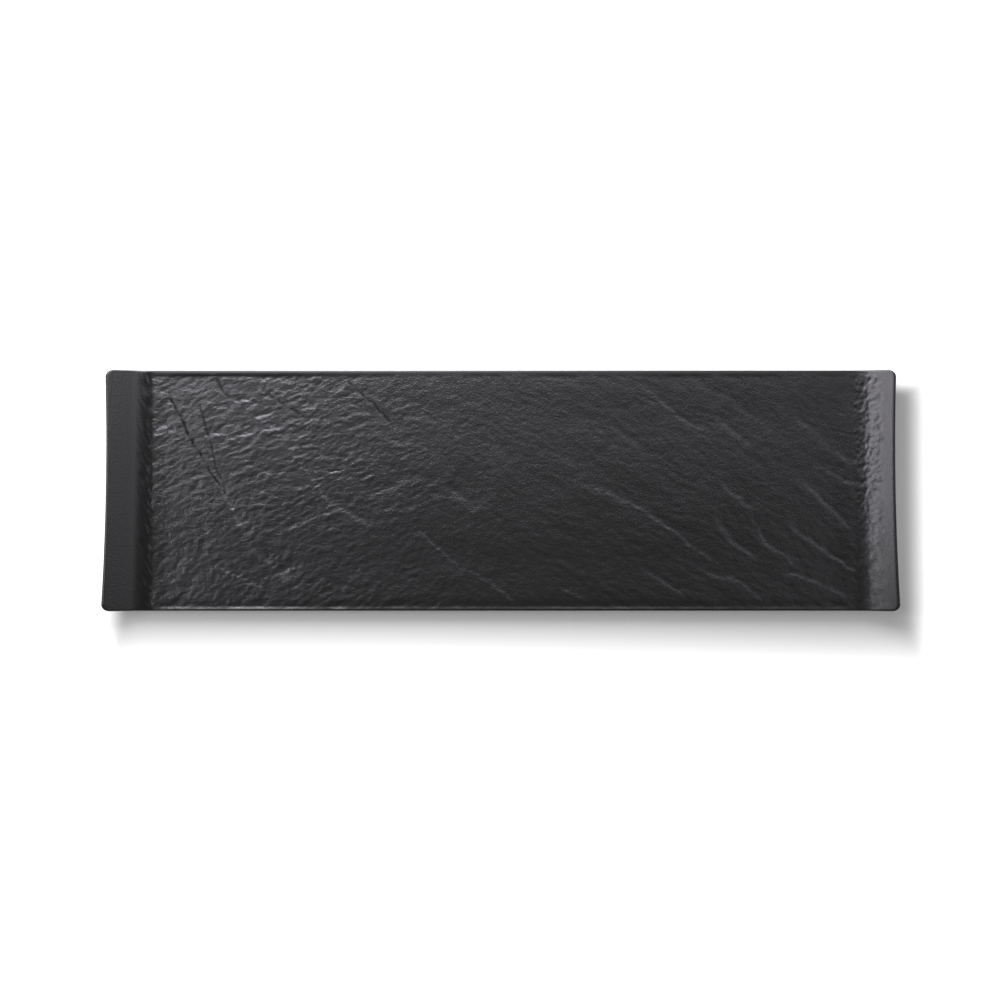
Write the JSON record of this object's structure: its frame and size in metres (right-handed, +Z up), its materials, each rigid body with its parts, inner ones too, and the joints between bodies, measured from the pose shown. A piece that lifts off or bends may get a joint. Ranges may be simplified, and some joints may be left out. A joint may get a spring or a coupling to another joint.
{
  "type": "rectangular plate",
  "caption": "Long rectangular serving plate in matt black glazed porcelain with a sunk slate-textured field, curled-up short ends and silicone foot pads glued into its underside.",
  "frame": {"origin": "on the table under the middle of the plate, in the plane of the pads' undersides", "axes": "+X along the plate's length, to the right seen from its front; +Y from the longer front edge to the back edge; +Z up, out of the serving field"},
  "size_m": [0.3996, 0.121, 0.0152],
  "materials": {
    "black_glaze": "matt black glaze over a split-slate relief, smoother on the rim and the curled ends",
    "silicone": "moulded, matt",
    "adhesive": "double-sided adhesive film, cream"
  },
  "bodies": {
    "root": {"plate_body": "black_glaze", "foot_pad_front_left": "silicone", "foot_pad_front_right": "silicone", "foot_pad_back_left": "silicone", "foot_pad_back_right": "silicone", "adhesive_disc_front_left": "adhesive", "adhesive_disc_front_right": "adhesive", "adhesive_disc_back_left": "adhesive", "adhesive_disc_back_right": "adhesive"}
  },
  "joints": []
}
